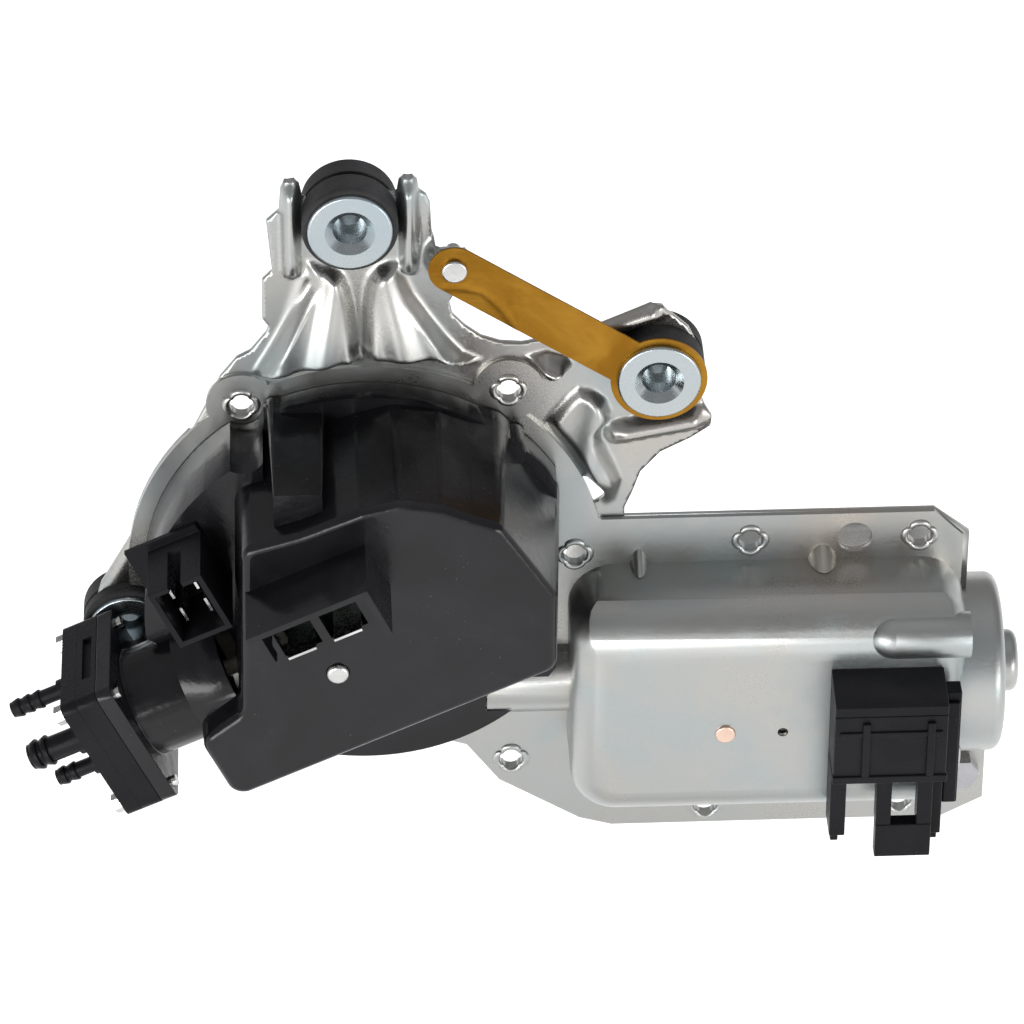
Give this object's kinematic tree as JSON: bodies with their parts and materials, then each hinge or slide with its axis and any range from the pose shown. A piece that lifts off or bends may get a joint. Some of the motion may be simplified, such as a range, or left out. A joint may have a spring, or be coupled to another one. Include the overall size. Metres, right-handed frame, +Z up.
{
  "type": "windshield wiper motor",
  "caption": "Wiper motor with worm gearbox in a stamped frame on rubber grommets, with a park-switch cover, harness sockets, a ground strap and a washer pump.",
  "frame": {"origin": "on the output shaft's axis at the crank seat", "axes": "+Z up, +X along the armature towards the motor's end, +Y along the output shaft towards the crank; the cover faces -Y"},
  "size_m": [0.3069, 0.132, 0.2405],
  "materials": {
    "zinc_steel": "zinc plated, faint iridescent passivation",
    "sleeve_zinc": "bluish zinc plate",
    "strap_gold": "mottled yellow passivation",
    "rubber": "matte",
    "cover_plastic": "glossy moulding",
    "connector_plastic": "matte moulding",
    "tinned": "bright tin",
    "dark_steel": "ground steel",
    "laminations": "stacked sheet",
    "winding_copper": "enamelled wire",
    "commutator_copper": "turned copper",
    "ferrite": "sintered",
    "gear_nylon": "natural nylon",
    "sintered_bronze": "oil filled",
    "board": "solder mask",
    "carbon": "pressed carbon",
    "spring_steel": "bright",
    "rivet_copper": "copper washed",
    "gasket_cork": "rubberised cork"
  },
  "bodies": {
    "housing": {"back_frame": "zinc_steel", "brush_card": "connector_plastic", "brush_springs": "spring_steel", "brushes": "carbon", "clamp_bolt": "dark_steel", "connector_blades": "tinned", "cover_gasket": "gasket_cork", "cover_pin": "tinned", "field_magnets": "ferrite", "flange_eyelets": "zinc_steel", "front_bearing": "sintered_bronze", "front_frame": "zinc_steel", "gear_cover": "cover_plastic", "grommet_left": "rubber", "grommet_right": "rubber", "grommet_top": "rubber", "ground_strap": "strap_gold", "harness_socket": "connector_plastic", "header_blades": "tinned", "motor_can": "zinc_steel", "motor_connector": "connector_plastic", "output_bush": "sintered_bronze", "park_contacts": "spring_steel", "plunger_spring": "spring_steel", "pulse_board": "board", "pump_body": "connector_plastic", "pump_bolts": "tinned", "pump_tube": "cover_plastic", "rear_bearing": "sintered_bronze", "shaft_seal": "rubber", "shell_rivet": "rivet_copper", "sleeve_left": "sleeve_zinc", "sleeve_right": "sleeve_zinc", "sleeve_top": "sleeve_zinc", "socket_blades": "tinned", "strap_rivet": "tinned", "valve_plate": "connector_plastic", "worm_tip_bearing": "gear_nylon"},
    "armature": {"armature_shaft": "dark_steel", "armature_core": "laminations", "armature_windings": "winding_copper", "commutator": "commutator_copper"},
    "gear_train": {"drive_gear": "gear_nylon", "output_shaft": "dark_steel", "park_cam": "dark_steel"},
    "plunger": {"pump_plunger": "gear_nylon"}
  },
  "joints": [
    {"name": "armature_spin", "type": "hinge", "parent": "housing", "child": "armature", "pos_m": [0, -0.0324, -0.044], "axis": [1, 0, 0], "continuous": true},
    {"name": "output_spin", "type": "hinge", "parent": "housing", "child": "gear_train", "pos_m": [0, 0, 0], "axis": [0, 1, 0], "continuous": true},
    {"name": "plunger_slide", "type": "slide", "parent": "housing", "child": "plunger", "axis": [-0.9063, 0, -0.4226], "range_m": [0, 0.003], "stiffness_N_per_m": 800}
  ],
  "couplings": [
    {"joint": "output_spin", "follows": "armature_spin", "ratio": 0.016667}
  ]
}
